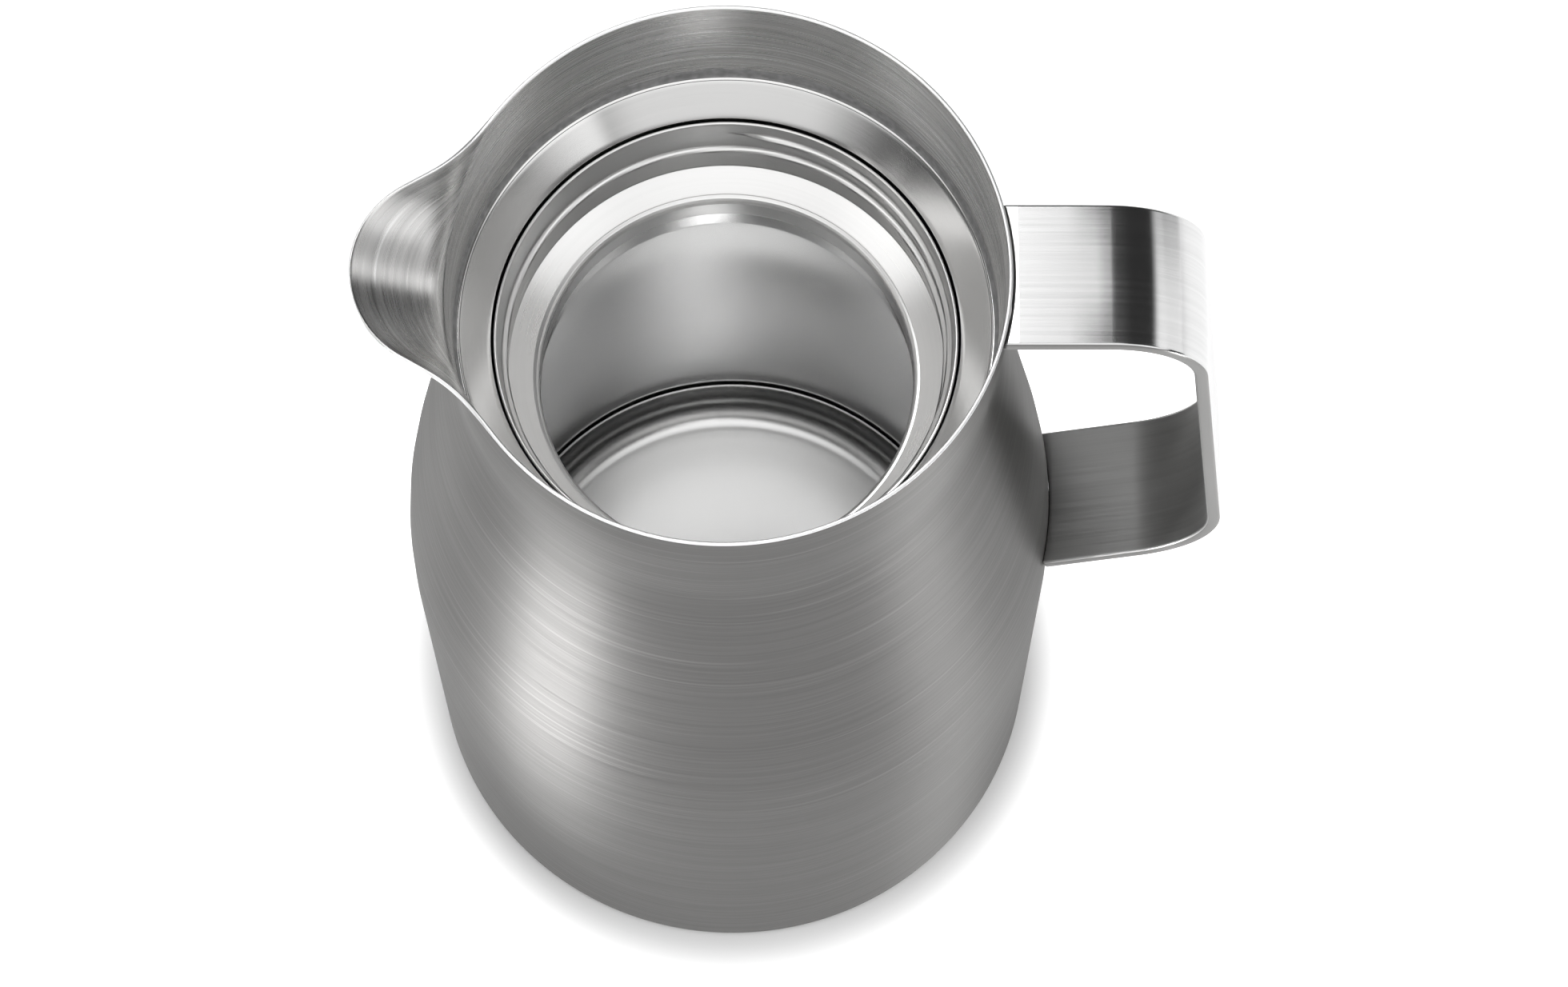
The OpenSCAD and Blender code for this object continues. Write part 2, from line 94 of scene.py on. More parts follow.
def brighter(tree, one, other):
    """The brighter of two areas of light, at each place."""
    made = node(tree, "ShaderNodeMath", _0=one, _1=other)
    made.operation = "MAXIMUM"
    return made.outputs[0]


studio = bpy.data.worlds.new("studio")
bpy.context.scene.world = studio
studio.use_nodes = True
room = studio.node_tree
toward = node(room, "ShaderNodeTexCoord").outputs["Generated"]
toward = node(room, "ShaderNodeSeparateXYZ", Vector=toward).outputs
sideways = node(room, "ShaderNodeMath", _0=toward["X"])
sideways.operation = "ABSOLUTE"
toward = {"x": toward["X"], "y": toward["Y"], "z": toward["Z"], "side": sideways.outputs[0]}
front = ramp(room, toward["z"], 0.6, 0.9, 1.08, 1.25)
front = zone(room, toward, front, ("y", 0.02, -0.25), ("z", 0.34, 0.5))
front_low = zone(room, toward, 0.74, ("side", 0.8, 0.4), ("y", -0.4, -0.7), ("z", -0.02, 0.1))
zenith = zone(
    room, toward, 1.0, ("side", 0.45, 0.2), ("y", -0.33, -0.2), ("y", 0.25, 0.1), ("z", 0.85, 0.93)
)
sheet = zone(
    room, toward, 1.15, ("x", 0.063, 0.034), ("x", -0.24, -0.1), ("y", 0.72, 0.58), ("z", 0.5, 0.75)
)
front_sides = zone(room, toward, 1.35, ("side", 0.4, 0.62), ("y", 0.06, -0.14), ("z", 0.38, 0.5))
strip = zone(
    room, toward, 5.5, ("x", 0.03, 0.0), ("x", -0.5, -0.25), ("y", 0.3, 0.38), ("y", 0.62, 0.5),
    ("z", 0.5, 0.75)
)
low_wall = zone(room, toward, 1.3, ("x", 0.5, 0.7), ("y", 0.2, 0.28), ("y", 0.42, 0.35), ("z", 0.6, 0.48))
right_wall = zone(
    room, toward, 1.1, ("x", 0.5, 0.65), ("y", 0.44, 0.37), ("z", 0.3, 0.37), ("z", 0.6, 0.48)
)
glow = zone(room, toward, 0.3, ("y", 0.25, 0.5), ("z", 0.3, 0.15))
DIM_ROOM = 0.025
light = DIM_ROOM
for area in (front, front_low, front_sides, zenith, sheet, strip, low_wall, right_wall, glow):
    light = brighter(room, area, light)
room.links.new(light, room.nodes["Background"].inputs["Strength"])
room.nodes["Background"].inputs["Color"].default_value = (1, 1, 1, 1)


def soft_lamp(name, place, target, width, height, brightness):
    """A flat lamp that points at its target; its brightness is that of its surface."""
    lamp = bpy.data.lights.new(name, "AREA")
    lamp.shape = "RECTANGLE"
    lamp.size = width
    lamp.size_y = height
    lamp.energy = brightness * math.pi * width * height
    obj = bpy.data.objects.new(name, lamp)
    obj.location = place
    obj.rotation_euler = (Vector(target) - Vector(place)).to_track_quat("-Z", "Y").to_euler()
    bpy.context.scene.collection.objects.link(obj)
    return obj


fill = soft_lamp("lamp_over_table", (0, 0.2, 2.6), (0, 0, 0), 2.2, 2.2, 1.8)
fill.visible_glossy = False
soft_lamp("lamp_right", (1.17, -0.8, 0.1), (0, 0, 0.1), 0.5, 0.2, 26.0)
soft_lamp("lamp_left_low", (-1.4, 0.1, 0.06), (0, 0, 0.06), 0.6, 0.12, 12.0)
SPOT_REACH = 1.4
SPOT_HEIGHT = 0.16
SPOT_TURNS = (40, 51)
spot_aim = Vector((-0.036, -0.045, 0.128))
for turn in SPOT_TURNS:
    spot = bpy.data.lights.new("lamp_left", "SPOT")
    spot.shadow_soft_size = 0.06
    spot.spot_size = math.radians(5.5)
    spot.spot_blend = 1.0
    spot.energy = 118.0
    spot_lamp = bpy.data.objects.new("lamp_left", spot)
    turn = math.radians(turn)
    spot_lamp.location = (-SPOT_REACH * math.sin(turn), -SPOT_REACH * math.cos(turn), SPOT_HEIGHT)
    spot_lamp.rotation_euler = (spot_aim - spot_lamp.location).to_track_quat("-Z", "Y").to_euler()
    bpy.context.scene.collection.objects.link(spot_lamp)

# The table: a matt white sheet that glows white for the camera, and metal sees it a little darker. Round
# the foot the camera's glow is left out and rises outwards, which paints a darker ring there on top of the
# real shadow; further out the glow washes the real shadow away.
TABLE_COLOUR = (0.86, 0.86, 0.86, 1)
FOOT_CENTRE = (0.0, -0.0012, 0.0)
PAINTED_SHADE_REACH = 0.056
WHITE_REACH = 0.0695
CAMERA_GLOW = 0.75
METAL_GLOW = 0.3
floor_mesh = bpy.data.meshes.new("table")
floor_bm = bmesh.new()
bmesh.ops.create_grid(floor_bm, x_segments=8, y_segments=8, size=6.0)
floor_bm.to_mesh(floor_mesh)
floor_bm.free()
table = bpy.data.objects.new("table", floor_mesh)
bpy.context.scene.collection.objects.link(table)
white, tree, shader = new_material("white_table")
shader.inputs["Base Color"].default_value = TABLE_COLOUR
shader.inputs["Roughness"].default_value = 0.6
shader.inputs["Specular IOR Level"].default_value = 0.2
rays = node(tree, "ShaderNodeLightPath").outputs
seen = node(tree, "ShaderNodeMath", _0=rays["Is Camera Ray"], _1=rays["Is Glossy Ray"])
seen.operation = "MAXIMUM"
seen = node(tree, "ShaderNodeMath", _0=seen.outputs[0], _1=rays["Is Transmission Ray"])
seen.operation = "MAXIMUM"
place = node(tree, "ShaderNodeTexCoord").outputs["Object"]
reach = node(tree, "ShaderNodeVectorMath", _0=place, _1=FOOT_CENTRE)
reach.operation = "DISTANCE"
# Painted shade: no glow within this reach of the foot, rising to full glow further out, so the foot stands
# in a darker ring.
far_out = node(
    tree, "ShaderNodeMapRange", Value=reach.outputs["Value"], From_Min=PAINTED_SHADE_REACH, From_Max=WHITE_REACH
)
far_out.interpolation_type = "SMOOTHSTEP"
whiter = node(tree, "ShaderNodeMath", _0=far_out.outputs[0], _1=CAMERA_GLOW)
whiter.operation = "MULTIPLY"
backdrop = node(tree, "ShaderNodeMix", Factor=rays["Is Camera Ray"], _2=METAL_GLOW, _3=whiter.outputs[0])
backdrop = node(tree, "ShaderNodeMath", _0=seen.outputs[0], _1=backdrop.outputs[0])
backdrop.operation = "MULTIPLY"
shader.inputs["Emission Color"].default_value = (1, 1, 1, 1)
tree.links.new(backdrop.outputs[0], shader.inputs["Emission Strength"])
floor_mesh.materials.append(white)

# Outer shell: one sheet of stainless steel, 0.8 mm thick, spun to shape, its foot rolled in and
# its pouring lip pressed out of the collar. The outside is brushed round the body, and its colour is
# painted far darker than steel, a painted shade for the dark surroundings it reflects. The inside of the
# collar is brushed the same way in a far lighter colour, and the cut rim is bare and coloured almost white,
# a painted highlight along the rim.
MM = 0.001
RIM_Z = 216.3
SHELL_WALL = 0.8
SHELL_TURN = 400
LIP_ROUND = 18.4
LIP_CENTRE = 45.5
LIP_RUN = 1.55
LIP_DEEP = 14
LIP_SPREAD = math.radians(75)
LIP_SOFT = 4.8
LIP_SOFT_LOSS = 0.2
LIP_SLOPE = 0.0574
LIP_RISE_FROM = 43
LIP_RISE_DEEP = 10.5
LIP_DROP = 0.66
LIP_DROP_RUN = 12
LIP_DROP_DEEP = 6


def rounded(corners, radii, longest=5.0, bend=6.0):
    """Points of a profile through the corners, in mm, with an arc at each inner corner."""
    points = [Vector(corners[0])]
    for before, corner, after, radius in zip(corners, corners[1:], corners[2:], radii):
        corner = Vector(corner)
        a = (Vector(before) - corner).normalized()
        b = (Vector(after) - corner).normalized()
        half = a.angle(b) / 2
        centre = corner + (a + b).normalized() * radius / math.sin(half)
        first = corner + a * radius / math.tan(half) - centre
        last = corner + b * radius / math.tan(half) - centre
        turn = math.atan2(first.x * last.y - first.y * last.x, first.dot(last))
        steps = max(3, math.ceil(abs(math.degrees(turn)) / bend))
        for i in range(steps + 1):
            points.append(centre + Matrix.Rotation(turn * i / steps, 2) @ first)
    points.append(Vector(corners[-1]))
    path = [points[0]]
    for point in points[1:]:
        parts = max(1, math.ceil((point - path[-1]).length / longest))
        start = path[-1]
        path += [start.lerp(point, i / parts) for i in range(1, parts + 1)]
    return path


def spun(path, turn, closed=False):
    """A sheet turned from a profile round the axis; its face looks to the right of the profile."""
    bm = bmesh.new()
    verts = [bm.verts.new((p[0] * MM, 0, p[1] * MM)) for p in path]
    edges = [bm.edges.new(pair) for pair in zip(verts, verts[1:])]
    if closed:
        edges.append(bm.edges.new((verts[-1], verts[0])))
    bmesh.ops.spin(
        bm, geom=verts + edges, cent=(0, 0, 0), axis=(0, 0, 1), angle=math.tau, steps=turn, use_merge=True
    )
    bmesh.ops.remove_doubles(bm, verts=bm.verts, dist=2e-6)
    bmesh.ops.recalc_face_normals(bm, faces=bm.faces)
    if not closed:
        half = len(path) // 2
        start, end = (Vector((path[i][0], 0, path[i][1])) * MM for i in (half - 1, half))
        right = Vector(((end - start).z, 0, -(end - start).x))
        middle = (start + end) / 2
        nearest = min(bm.faces, key=lambda f: (f.calc_center_median() - middle).length)
        if nearest.normal.dot(right) < 0:
            bmesh.ops.reverse_faces(bm, faces=bm.faces)
    return bm


def made_piece(bm, name, material, *nodes, slot=None):
    """A piece from a bmesh: it gets its material, rides on the body and stands for the nodes."""
    mesh = bpy.data.meshes.new(name)
    bm.to_mesh(mesh)
    bm.free()
    mesh.shade_smooth()
    mesh.materials.append(material)
    obj = bpy.data.objects.new(name, mesh)
    bpy.context.scene.collection.objects.link(obj)
    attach(obj, "root")
    if nodes:
        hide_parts(*nodes)
    return obj


def thicken(obj, wall, edge=0.0, inside=0, cut=0):
    """Sheet thickness behind the drawn face, with the cut edges a little rounded."""
    solid = obj.modifiers.new("sheet", "SOLIDIFY")
    solid.material_offset = inside
    solid.material_offset_rim = cut
    solid.thickness = wall * MM
    solid.offset = -1
    solid.use_even_offset = True
    if edge:
        bevel = obj.modifiers.new("edge", "BEVEL")
        bevel.width = edge * MM
        bevel.segments = 2
        bevel.limit_method = "ANGLE"
        bevel.angle_limit = math.radians(60)


ALONG_LIMIT = 100


def scratches(tree, line, scale, along, across, detail, **settings):
    """Noise stretched into scratches. Each scale under the limit lies along them, the rest across."""
    scale = tuple(v * (along if v < ALONG_LIMIT else across) for v in scale)
    stretched = node(tree, "ShaderNodeVectorMath", _0=line, _1=scale)
    stretched.operation = "MULTIPLY"
    made = node(
        tree, "ShaderNodeTexNoise", Vector=stretched.outputs[0], Scale=1.0, Detail=detail, **settings
    )
    return made.outputs["Fac"]


def brushed_steel(
    name, colour, roughness, spread, along="round", grain=1.0, attribute=None, anisotropy=0.8, hairs=0.0
):
    """Brushed stainless steel. The brushing runs round the axis, or along the strap."""
    made, tree, shader = new_material(name)
    if attribute:
        place = node(tree, "ShaderNodeAttribute")
        place.attribute_name = attribute
        place = place.outputs["Vector"]
    else:
        place = node(tree, "ShaderNodeTexCoord").outputs["Object"]
    parts = node(tree, "ShaderNodeSeparateXYZ", Vector=place)
    if along == "round":
        radius = node(tree, "ShaderNodeVectorMath", _0=place, _1=(1, 1, 0))
        radius.operation = "MULTIPLY"
        reach = node(tree, "ShaderNodeVectorMath", _0=radius.outputs[0])
        reach.operation = "LENGTH"
        across = node(tree, "ShaderNodeMath", _0=parts.outputs["Z"], _1=reach.outputs["Value"])
        across.operation = "ADD"
        line = node(
            tree, "ShaderNodeCombineXYZ", X=parts.outputs["X"], Y=parts.outputs["Y"], Z=across.outputs[0]
        ).outputs[0]
        scale = (30, 30, 3400)
    else:
        line = place
        scale = (26, 3400, 26)
    fine = scratches(tree, line, scale, 1.0, 1.0, 3.0, Roughness=0.6)
    wide = scratches(tree, line, scale, 0.8, 0.42, 2.0)
    cloud = node(tree, "ShaderNodeTexNoise", Vector=place, Scale=24.0, Detail=3.0)
    both = node(tree, "ShaderNodeMath", _0=fine, _1=wide)
    both.operation = "ADD"
    shade = ramp(tree, both.outputs[0], 0.7, 1.3, 1 - 0.16 * grain, 1 + 0.16 * grain)
    if hairs:
        hair = scratches(tree, line, scale, 0.5, 0.62, 1.0)
        scratch = ramp(tree, hair, 0.6, 0.72, 0.0, hairs)
        lighter = node(tree, "ShaderNodeMath", _0=shade, _1=scratch)
        lighter.operation = "ADD"
        shade = lighter.outputs[0]
    tint = node(tree, "ShaderNodeVectorMath", _0=colour, _3=shade)
    tint.operation = "SCALE"
    tree.links.new(tint.outputs[0], shader.inputs["Base Color"])
    blur = ramp(tree, fine, 0.3, 0.7, roughness - spread, roughness + spread)
    smudge = ramp(tree, cloud.outputs["Fac"], 0.3, 0.7, -0.02, 0.02)
    total = node(tree, "ShaderNodeMath", _0=blur, _1=smudge)
    total.operation = "ADD"
    tree.links.new(total.outputs[0], shader.inputs["Roughness"])
    bump = node(tree, "ShaderNodeBump", Height=both.outputs[0], Strength=0.35 * grain, Distance=0.00002)
    tree.links.new(bump.outputs[0], shader.inputs["Normal"])
    shader.inputs["Metallic"].default_value = 1.0
    shader.inputs["Anisotropic"].default_value = anisotropy
    if along == "round":
        spin = node(tree, "ShaderNodeCombineXYZ", X=flipped(tree, parts.outputs["Y"]), Y=parts.outputs["X"])
        normal = node(tree, "ShaderNodeNewGeometry").outputs["Normal"]
        tangent = node(tree, "ShaderNodeVectorMath", _0=normal, _1=spin.outputs[0])
        tangent.operation = "CROSS_PRODUCT"
        tree.links.new(tangent.outputs[0], shader.inputs["Tangent"])
    else:
        tangent = node(tree, "ShaderNodeCombineXYZ", Y=1.0)
        tree.links.new(tangent.outputs[0], shader.inputs["Tangent"])
    return made


def flipped(tree, value):
    """The value with its sign turned."""
    made = node(tree, "ShaderNodeMath", _0=value, _1=-1.0)
    made.operation = "MULTIPLY"
    return made.outputs[0]


FOOT_IN = (52.5, 0.6)
FOOT = (57.6, 0.6)
BELLY = (60.0, 97.9)
WAIST = (47.56, 185.0)
COLLAR = (48.9, 206.9)
RIM = (49.0, RIM_Z)
COLLAR_ROUND = 120.0
CLOSE_ROWS_Z = 201
shell_path = rounded([FOOT_IN, FOOT, BELLY, WAIST, COLLAR, RIM], [2.0, 200.0, 60.0, COLLAR_ROUND])
first_close = tuple(next(p for p in shell_path if p.y >= CLOSE_ROWS_Z))
close_rows = rounded([first_close, COLLAR, RIM], [COLLAR_ROUND], longest=0.36, bend=1.0)
shell_path = [p for p in shell_path if p.y < CLOSE_ROWS_Z] + close_rows
shell_bm = spun(shell_path, SHELL_TURN)
drawn = shell_bm.verts.layers.float_vector.new("drawn")
for v in shell_bm.verts:
    v[drawn] = v.co
    depth = RIM_Z - v.co.z / MM
    angle = abs(math.atan2(v.co.y, -v.co.x))
    if depth > LIP_DEEP or angle > LIP_SPREAD:
        continue
    collar = math.hypot(v.co.x, v.co.y) / MM
    centre = LIP_CENTRE - LIP_RUN * depth
    touch = math.atan2(LIP_ROUND * math.sin(math.pi / 3), centre + LIP_ROUND * 0.5)
    if angle < touch:
        reach = centre * math.cos(angle) + math.sqrt(LIP_ROUND ** 2 - (centre * math.sin(angle)) ** 2)
    else:
        reach = (centre / 2 + LIP_ROUND) / math.cos(math.pi / 3 - angle)
    soft = LIP_SOFT - LIP_SOFT_LOSS * depth
    blend = max(soft - abs(reach - collar), 0) / soft
    factor = (max(reach, collar) + blend * blend * soft / 4) / collar
    v.co.x *= factor
    v.co.y *= factor
    lift = max(0.0, (-v.co.x / MM - LIP_RISE_FROM) * LIP_SLOPE) * max(0.0, 1 - depth / LIP_RISE_DEEP)
    drawn_out = min(1.0, max(0.0, reach - collar) / LIP_DROP_RUN)
    lift -= LIP_DROP * drawn_out * max(0.0, 1 - depth / LIP_DROP_DEEP)
    v.co.z += lift * MM
# Painted shade: the outside's colour is far darker than steel, standing in for the dark surroundings it
# reflects.
shell_steel_painted_dark = brushed_steel(
    "brushed_shell", (0.16, 0.158, 0.155), 0.45, 0.05, attribute="drawn", anisotropy=0.82, grain=0.9,
    hairs=0.3
)
collar_steel = brushed_steel(
    "collar_inside", (0.78, 0.775, 0.766), 0.28, 0.04, attribute="drawn", anisotropy=0.75, grain=1.3,
    hairs=0.5
)
# Painted highlight: the bare cut rim is coloured almost white, lighter than steel, to draw its bright line.
cut_steel_painted_bright = brushed_steel(
    "cut_rim_painted_bright", (0.98, 0.98, 0.98), 0.4, 0.05, attribute="drawn", anisotropy=0.0, grain=0.3
)
shell = made_piece(shell_bm, "shell_skin", shell_steel_painted_dark, "outer_shell", slot="brushed_shell")
shell.data.materials.append(collar_steel)
shell.data.materials.append(cut_steel_painted_bright)
thicken(shell, SHELL_WALL, edge=0.18, inside=1, cut=2)

# Handle: one flat strap of steel, 25.7 by 2.4 mm, brushed along its length, its edges eased,
# bent twice and welded to the collar and to the belly.
STRAP_W = 25.7
STRAP_T = 2.4
STRAP_CROWN = 0.2
CROWN_FROM = 61
CROWN_RUN = 16
STRAP_ROWS = 12
EDGE_ROW = 0.6
END_ROW = 0.6
COLLAR_TOUCH = 49.03
BELLY_TOUCH = 60.0
LOWER_BEND = (90.85, 107.8)
LOWER_ARM_SLOPE = math.radians(21.5)
strap_path = rounded(
    [(48.5, 215.05), (81.6, 215.05), LOWER_BEND, (59.4, 95.41)], [17.5, 22.0], longest=2.5, bend=2.0
)
strap_bm = bmesh.new()
strap_path.insert(1, strap_path[0].lerp(strap_path[1], END_ROW))
strap_path.insert(-1, strap_path[-1].lerp(strap_path[-2], END_ROW))
strap_verts = [strap_bm.verts.new((p.x * MM, -STRAP_W / 2 * MM, p.y * MM)) for p in strap_path]
strap_edges = [strap_bm.edges.new(pair) for pair in zip(strap_verts, strap_verts[1:])]
for step in [EDGE_ROW] + [(STRAP_W - 2 * EDGE_ROW) / STRAP_ROWS] * STRAP_ROWS + [EDGE_ROW]:
    grown = bmesh.ops.extrude_edge_only(strap_bm, edges=strap_edges)["geom"]
    strap_edges = [g for g in grown if isinstance(g, bmesh.types.BMEdge)]
    moved = [g for g in grown if isinstance(g, bmesh.types.BMVert)]
    bmesh.ops.translate(strap_bm, verts=moved, vec=(0, step * MM, 0))
for v in strap_bm.verts:
    if v.co.x < 49 * MM:
        v.co.x = math.sqrt((COLLAR_TOUCH * MM) ** 2 - v.co.y ** 2)
    elif v.co.x < 59.5 * MM and v.co.z < 100 * MM:
        v.co.x = math.sqrt((BELLY_TOUCH * MM) ** 2 - v.co.y ** 2)
        v.co.z = LOWER_BEND[1] * MM - (LOWER_BEND[0] * MM - v.co.x) * math.tan(LOWER_ARM_SLOPE)
bmesh.ops.recalc_face_normals(strap_bm, faces=strap_bm.faces)
strap_bm.normal_update()
top_face = max(strap_bm.faces, key=lambda f: f.calc_center_median().z)
if top_face.normal.z < 0:
    bmesh.ops.reverse_faces(strap_bm, faces=strap_bm.faces)
strap_bm.normal_update()
for v in strap_bm.verts:
    share = min(1.0, max(0.0, v.co.x / MM - CROWN_FROM) / CROWN_RUN)
    v.co -= v.normal * share * STRAP_CROWN * MM * (2 * v.co.y / (STRAP_W * MM)) ** 2
strap_steel = brushed_steel(
    "strap_steel", (0.7, 0.7, 0.7), 0.17, 0.015, along="strap", grain=0.3, anisotropy=0.6, hairs=0.06
)
# Painted shade: the strap's cut sides are coloured far darker than its faces, standing in for the shade on
# its sides.
strap_side_painted_dark = brushed_steel("strap_side_painted_dark", (0.25, 0.248, 0.243), 0.35, 0.04, along="strap", grain=0.6)
strap_inside = brushed_steel(
    "strap_inside", (0.6, 0.6, 0.595), 0.4, 0.04, along="strap", grain=0.35, anisotropy=0.0
)
strap = made_piece(strap_bm, "strap_skin", strap_steel, "handle_strap", slot="strap_steel")
strap.data.materials.append(strap_side_painted_dark)
strap.data.materials.append(strap_inside)
thicken(strap, STRAP_T, inside=2, cut=1)
strap_edge = strap.modifiers.new("eased", "BEVEL")
strap_edge.width = 0.5 * MM
strap_edge.segments = 3
strap_edge.limit_method = "ANGLE"
strap_edge.angle_limit = math.radians(50)

# Funnel ring: polished steel sheet, 0.5 mm thick, that slopes from the collar down to the neck.
# It is pressed over the jacket's edge, and its inner edge turns down round the neck.
INSERT_WALL = 0.5
INSERT_TURN = 320
polished = brushed_steel("polished_steel", (0.86, 0.857, 0.85), 0.13, 0.01, grain=0.08, anisotropy=0.4)
neck_steel = brushed_steel("neck_steel", (0.93, 0.927, 0.92), 0.29, 0.012, grain=0.1, anisotropy=0.4)
funnel_path = rounded(
    [(46.77, 181.1), (46.77, 190.1), (40.9, 184.52), (40.9, 181.2)], [0.3, 0.12], longest=1.2, bend=12.0
)
funnel_bm = spun(funnel_path, INSERT_TURN)
funnel = made_piece(funnel_bm, "funnel_skin", polished, "funnel_ring", slot="polished_steel")
thicken(funnel, INSERT_WALL)

# Neck: a rolled sleeve of the same sheet. Its edge is turned over, a coarse right-hand thread
# is rolled into it, and it ends in a step and the short wall of the mouth.
THREAD_PITCH = 5.3
THREAD_TURNS = 1.75
THREAD_DEPTH = 0.95
THREAD_TOP = 180.7
THREAD_HALF = 0.75
THREAD_LEAST_HALF = 0.1
THREAD_START_EASE = 0.03
THREAD_END_EASE = 0.06
THREADED_FROM = 168.6
THREADED_TO = 183
neck_edge = [(40.45, 183.1), (40.45, 183.8), (40.4, 184.05), (40.25, 184.2), (40.0, 184.2), (39.87, 184.1)]
neck_path = neck_edge + rounded(
    [
        (39.82, 183.7), (38.35, 168.9), (38.6, 168.65), (38.4, 168.1), (34.1, 165.25), (34.25, 164.75),
        (33.6, 164.65), (33.05, 164.1), (33.3, 163.7), (33.0, 163.3), (33.0, 158.5)
    ],
    [0.12, 0.1, 0.1, 0.08, 0.08, 0.3, 0.2, 0.08, 0.1], longest=0.3, bend=14.0
)
neck_bm = spun(neck_path, INSERT_TURN)
for v in neck_bm.verts:
    z = v.co.z / MM
    if not THREADED_FROM < z < THREADED_TO:
        continue
    turned = (math.pi / 2 - math.atan2(v.co.y, v.co.x)) % math.tau / math.tau
    for lap in (0, 1):
        turns = turned + lap
        if turns > THREAD_TURNS:
            continue
        ease = min(1, turns / THREAD_START_EASE, (THREAD_TURNS - turns) / THREAD_END_EASE)
        off = abs(z - (THREAD_TOP - THREAD_PITCH * turns))
        half = THREAD_HALF * ease + THREAD_LEAST_HALF
        if off < half:
            rise = THREAD_DEPTH * ease * (0.5 + 0.5 * math.cos(math.pi * off / half))
            r = math.hypot(v.co.x, v.co.y) / MM
            v.co.x *= 1 - rise / r
            v.co.y *= 1 - rise / r
neck = made_piece(neck_bm, "neck_skin", neck_steel, "neck_sleeve", slot="polished_steel")
thicken(neck, INSERT_WALL)

# Liner: the inner wall of the vacuum, fine satin steel, and its bottom, a pressed dish whose
# edge is welded inside the wall and shows as a thin bright line low on it.
LINER_TURN = 200
liner_steel = brushed_steel("liner_steel", (0.9, 0.9, 0.9), 0.22, 0.01, grain=0.05, anisotropy=0.0)
liner_path = rounded(
    [(33.65, 162.5), (33.65, 150.75), (46.4, 138.0), (48.8, 97.9), (46.82, 27.15)], [4.0, 16.0, 150.0]
)
liner_bm = spun(liner_path, LINER_TURN)
liner = made_piece(liner_bm, "liner_skin", liner_steel, "liner_wall", slot="liner_steel")
thicken(liner, INSERT_WALL)
floor_steel = brushed_steel("floor_steel", (0.85, 0.85, 0.845), 0.21, 0.005, grain=0.03, anisotropy=0.2)
dish_path = rounded([(46.17, 30.3), (46.17, 22.75), (33.0, 22.0), (0.0, 22.0)], [7.0, 120.0], longest=3.0)
dish_bm = spun(dish_path, LINER_TURN)
dish = made_piece(dish_bm, "liner_dish", floor_steel, "liner_bottom", slot="liner_steel")
thicken(dish, INSERT_WALL, edge=0.1)

# Sealant: a grey rubbery bead in the groove between the collar and the funnel ring. It was
# wiped by hand, so its upper edge is a thin uneven smear on the collar.
SEAL_TURN = 360
SMEAR_FROM = 190.5
SMEAR_LEAST = -0.6
SMEAR_LEAN = 0.061
SEAL_R = 47.1
sealant, tree, shader = new_material("sealant")
shader.inputs["Roughness"].default_value = 0.35
place = node(tree, "ShaderNodeTexCoord").outputs["Object"]
spots = node(tree, "ShaderNodeTexNoise", Vector=place, Scale=700.0, Detail=3.0)
lumps = node(tree, "ShaderNodeBump", Height=spots.outputs["Fac"], Strength=0.5, Distance=0.00015)
tree.links.new(lumps.outputs[0], shader.inputs["Normal"])
mottled = ramp(tree, spots.outputs["Fac"], 0.3, 0.7, 0.15, 0.24)
mixed = node(tree, "ShaderNodeCombineColor", Red=mottled, Green=mottled, Blue=mottled)
tree.links.new(mixed.outputs[0], shader.inputs["Base Color"])
seal_path = [
    (46.0, 189.45), (46.6, 189.6), (47.0, 189.9), (SEAL_R, 191.0), (47.14, 191.0), (47.2, 189.0),
    (47.0, 187.9), (46.82, 187.9), (46.82, 188.6)
]
seal_bm = spun(seal_path, SEAL_TURN, closed=True)
for v in seal_bm.verts:
    z = v.co.z / MM
    if z > SMEAR_FROM:
        angle = math.atan2(v.co.y, v.co.x)
        around = Vector((math.cos(angle), math.sin(angle), 0))
        smear = 0.5 + 0.9 * math.cos(angle - 0.6)
        smear += 0.9 * noise.noise(around * 2.3)
        smear += 0.9 * noise.noise(around * 9 + Vector((3, 0, 0)))
        smear += 0.4 * noise.noise(around * 30)
        smear = max(SMEAR_LEAST, smear)
        v.co.z += smear * MM
        lean = 1 + smear * SMEAR_LEAN / SEAL_R
        v.co.x *= lean
        v.co.y *= lean
made_piece(seal_bm, "seal_smear", sealant, "collar_sealant", slot="sealant")

# Welds: short fillets of grey, slightly rippled steel under both ends of the strap. Their
# solids are shown as they are, and so are those of all the pieces below.
def dress(material, *names):
    """Solids that keep their own shape and get the material."""
    for name in names:
        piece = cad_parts[name]
        piece.data.materials.clear()
        piece.data.materials.append(material)


weld_steel = brushed_steel("weld_steel", (0.5, 0.5, 0.5), 0.4, 0.08, grain=1.2, anisotropy=0.0)
dress(weld_steel, "upper_weld", "lower_weld")

# Jacket, its small steel pieces and the base plate: mill-finish sheet, pressed to shape. It
# only shows in a section.
mill_steel = brushed_steel("mill_steel", (0.55, 0.55, 0.555), 0.36, 0.05, grain=0.7, anisotropy=0.4)
dress(mill_steel, "jacket_wall", "jacket_bottom", "getter_holder", "plug_cap", "base_plate")

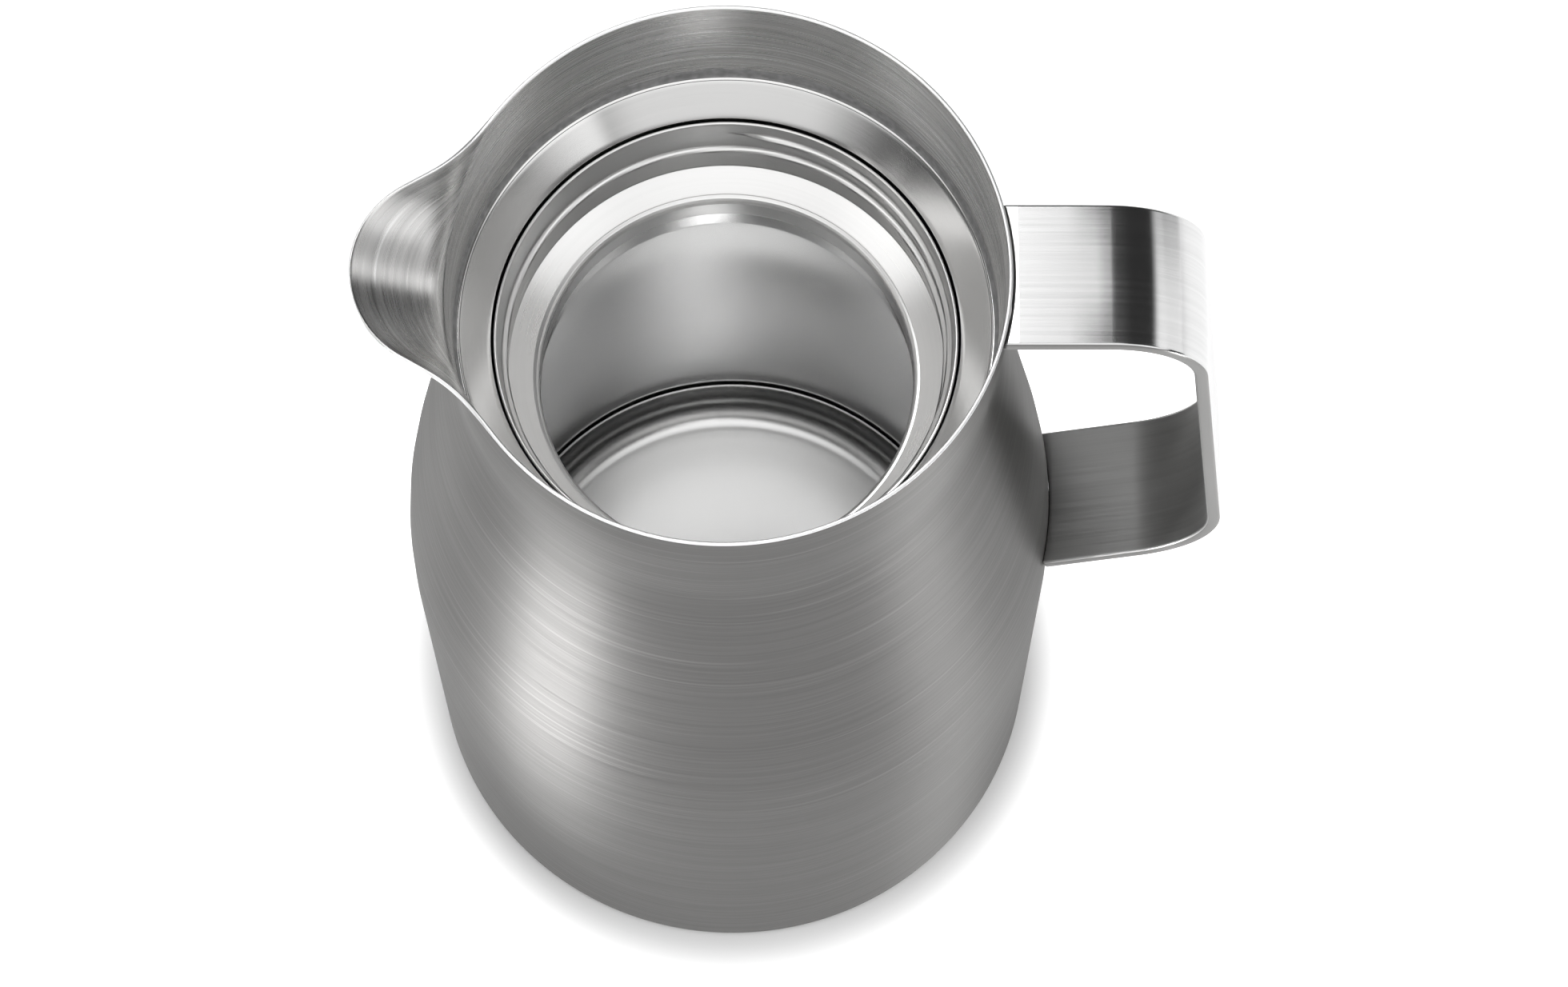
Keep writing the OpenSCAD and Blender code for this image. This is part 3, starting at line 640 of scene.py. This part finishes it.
# Foil: thin metal foil with a warm sheen, a little creased, wrapped round the liner in the
# vacuum to turn the heat back.
foil, tree, shader = new_material("foil")
shader.inputs["Base Color"].default_value = (0.85, 0.62, 0.48, 1)
shader.inputs["Metallic"].default_value = 1.0
shader.inputs["Roughness"].default_value = 0.2
place = node(tree, "ShaderNodeTexCoord").outputs["Object"]
creases = node(tree, "ShaderNodeTexVoronoi", Vector=place, Scale=90.0)
folds = node(tree, "ShaderNodeBump", Height=creases.outputs["Distance"], Strength=0.6, Distance=0.0004)
tree.links.new(folds.outputs[0], shader.inputs["Normal"])
dress(foil, "reflecting_foil")

# Getter and plug: a pressed grey pill that takes up gas, and a brass-coloured bead of braze
# that closes the hole through which the air was drawn.
def matt(name, colour, roughness, grain, depth, metallic=0.0):
    """A matt material with a fine grain."""
    made, tree, shader = new_material(name)
    where = node(tree, "ShaderNodeTexCoord").outputs["Object"]
    grains = node(tree, "ShaderNodeTexNoise", Vector=where, Scale=grain, Detail=4.0)
    shade = ramp(tree, grains.outputs["Fac"], 0.3, 0.7, 0.8, 1.2)
    tint = node(tree, "ShaderNodeVectorMath", _0=colour, _3=shade)
    tint.operation = "SCALE"
    tree.links.new(tint.outputs[0], shader.inputs["Base Color"])
    blur = ramp(tree, grains.outputs["Fac"], 0.3, 0.7, roughness - 0.08, roughness + 0.08)
    tree.links.new(blur, shader.inputs["Roughness"])
    bump = node(tree, "ShaderNodeBump", Height=grains.outputs["Fac"], Strength=0.4, Distance=depth)
    tree.links.new(bump.outputs[0], shader.inputs["Normal"])
    shader.inputs["Metallic"].default_value = metallic
    return made


dress(matt("getter", (0.16, 0.16, 0.17), 0.7, 900.0, 0.0001), "getter_pill")
dress(matt("plug_metal", (0.6, 0.5, 0.34), 0.4, 400.0, 0.0001, metallic=1.0), "evacuation_plug")

# Soft pieces: black rubber rings that hold the insert, and the pad that the carafe stands on.
rubber = matt("soft_black", (0.035, 0.035, 0.037), 0.65, 1500.0, 0.00005)
dress(rubber, "centring_ring", "cushion_ring", "foot_pad")
